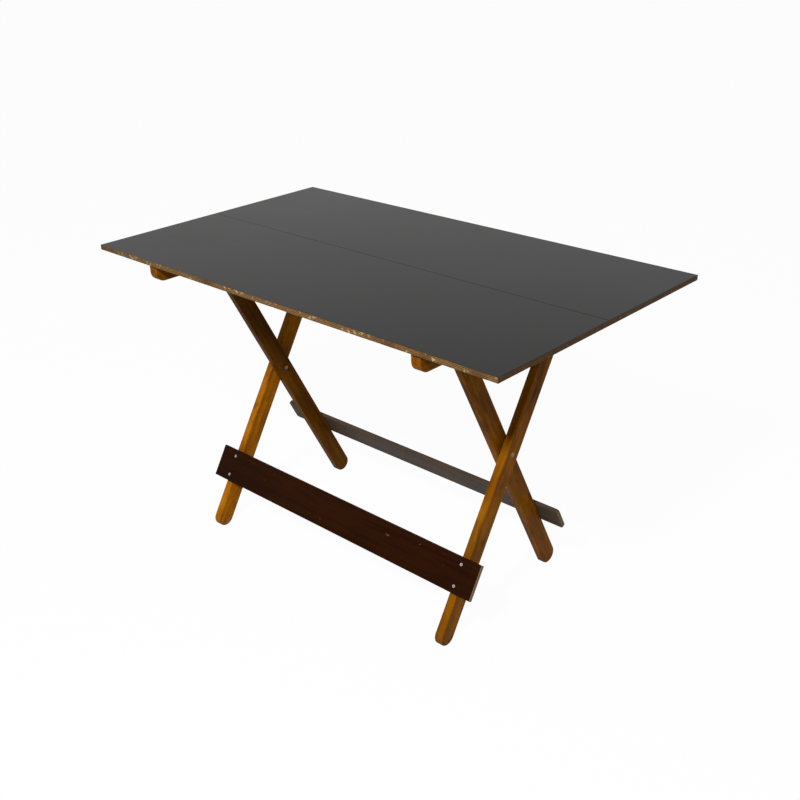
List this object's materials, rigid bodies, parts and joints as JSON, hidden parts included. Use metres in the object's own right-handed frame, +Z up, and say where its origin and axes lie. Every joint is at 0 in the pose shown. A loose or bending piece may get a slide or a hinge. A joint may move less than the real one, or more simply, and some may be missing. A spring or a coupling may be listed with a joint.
{
  "type": "folding trestle table",
  "caption": "Folding table with a flat plywood top on cross battens and crossed wooden legs that scissor shut, tied by low stretcher boards.",
  "frame": {"origin": "on the floor under the middle of the top", "axes": "+X along the length of the top, +Y from the front edge to the rear edge, +Z up"},
  "size_m": [1.2, 0.7, 0.75],
  "materials": {
    "top_board": "satin",
    "varnished_wood": "gloss",
    "dark_board": "satin",
    "steel": "satin"
  },
  "bodies": {
    "outer_frame": {"left_outer_leg": "varnished_wood", "right_outer_leg": "varnished_wood", "front_stretcher": "dark_board", "front_stretcher_screws": "steel", "left_scissor_bolt": "steel", "right_scissor_bolt": "steel", "scissor_washers": "steel", "scissor_nuts": "steel"},
    "top": {"front_top_panel": "top_board", "rear_top_panel": "top_board", "left_batten": "varnished_wood", "right_batten": "varnished_wood", "batten_screws": "steel", "left_stop_cleat": "varnished_wood", "right_stop_cleat": "varnished_wood", "cleat_screws": "steel", "left_hinge_bolt": "steel", "right_hinge_bolt": "steel", "hinge_washers": "steel", "hinge_nuts": "steel"},
    "inner_frame": {"left_inner_leg": "varnished_wood", "right_inner_leg": "varnished_wood", "rear_stretcher": "dark_board", "rear_stretcher_screws": "steel", "top_dowel": "varnished_wood", "dowel_nails": "steel"}
  },
  "joints": [
    {"name": "top_tilt", "type": "hinge", "parent": "outer_frame", "child": "top", "pos_m": [0, 0.185, 0.7145], "axis": [-1, 0, 0], "range_deg": [0, 120]},
    {"name": "leg_scissor", "type": "hinge", "parent": "outer_frame", "child": "inner_frame", "pos_m": [0, -0.0127, 0.38641], "axis": [-1, 0, 0], "range_deg": [0, 57.6]}
  ],
  "couplings": [
    {"joint": "leg_scissor", "follows": "top_tilt", "ratio": 0.48}
  ]
}
